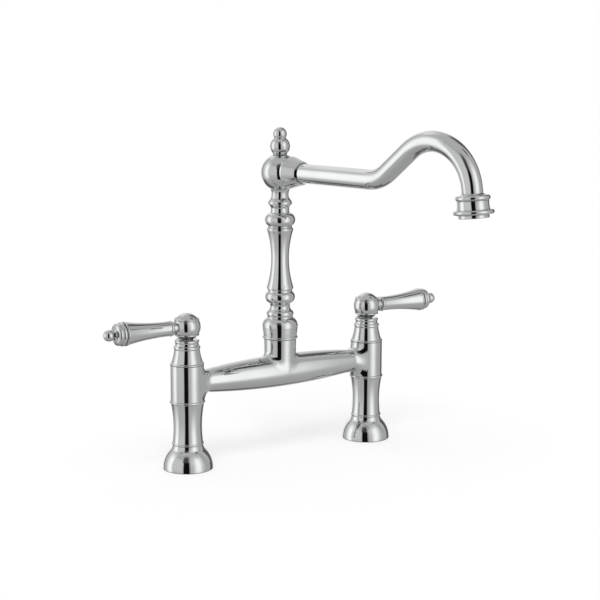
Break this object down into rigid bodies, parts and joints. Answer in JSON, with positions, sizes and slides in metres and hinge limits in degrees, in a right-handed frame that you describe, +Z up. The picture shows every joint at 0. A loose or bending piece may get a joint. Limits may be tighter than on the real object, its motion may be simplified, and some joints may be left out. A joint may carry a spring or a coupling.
{
  "type": "bridge kitchen faucet",
  "caption": "Bridge kitchen faucet in polished chrome: turned pillars with lever handles, a spindle bridge, and a turned column carrying a swivelling swan-neck spout.",
  "frame": {"origin": "on top of the deck, midway between the axes of the two pillars", "axes": "+Z up, +X along the bridge from hot to cold, -Y towards the user"},
  "size_m": [0.3716, 0.2681, 0.3701],
  "materials": {
    "chrome_base": "polished",
    "chrome_column": "polished",
    "chrome_spout": "polished",
    "chrome_lever": "polished",
    "brass": "machined",
    "steel": "satin",
    "rubber": "matt",
    "ceramic": "ground and lapped",
    "acetal": "moulded"
  },
  "bodies": {
    "base": {"foot_gaskets": "rubber", "clamp_gaskets": "rubber", "clamp_washers": "steel", "lock_nuts": "brass", "seat_seals": "rubber", "bridge": "chrome_base", "bridge_seals": "rubber", "swivel_washer": "acetal", "retaining_screw": "steel", "hot_foot": "chrome_base", "hot_pillar": "chrome_base", "hot_bonnet": "chrome_base", "hot_shank": "brass", "hot_cartridge": "brass", "hot_fixed_disc": "ceramic", "cold_foot": "chrome_base", "cold_pillar": "chrome_base", "cold_bonnet": "chrome_base", "cold_shank": "brass", "cold_cartridge": "brass", "cold_fixed_disc": "ceramic"},
    "hot_lever": {"hot_stem": "brass", "hot_stem_seal": "rubber", "hot_moving_disc": "ceramic", "hot_hub": "chrome_lever", "hot_index_cap": "chrome_lever", "hot_handle_screw": "steel", "hot_lever_arm": "chrome_lever", "hot_lever_cap": "chrome_lever"},
    "cold_lever": {"cold_stem": "brass", "cold_stem_seal": "rubber", "cold_moving_disc": "ceramic", "cold_hub": "chrome_lever", "cold_index_cap": "chrome_lever", "cold_handle_screw": "steel", "cold_lever_arm": "chrome_lever", "cold_lever_cap": "chrome_lever"},
    "spout": {"cup": "chrome_column", "swivel_seals": "rubber", "riser": "brass", "lower_turning": "chrome_column", "baluster": "chrome_column", "upper_turning": "chrome_column", "head": "chrome_column", "finial": "chrome_column", "spout_nut": "chrome_spout", "spout_tube": "chrome_spout", "spout_seal": "rubber", "outlet_collar": "chrome_spout", "aerator_washer": "rubber", "aerator_housing": "chrome_spout", "aerator_insert": "acetal", "aerator_screen": "steel"}
  },
  "joints": [
    {"name": "hot_valve", "type": "hinge", "parent": "base", "child": "hot_lever", "pos_m": [-0.1016, 0, 0.133], "axis": [0, 0, 1], "range_deg": [0, 90]},
    {"name": "cold_valve", "type": "hinge", "parent": "base", "child": "cold_lever", "pos_m": [0.1016, 0, 0.133], "axis": [0, 0, 1], "range_deg": [-90, 0]},
    {"name": "spout_swivel", "type": "hinge", "parent": "base", "child": "spout", "pos_m": [0, 0, 0.1116], "axis": [0, 0, 1], "continuous": true}
  ]
}
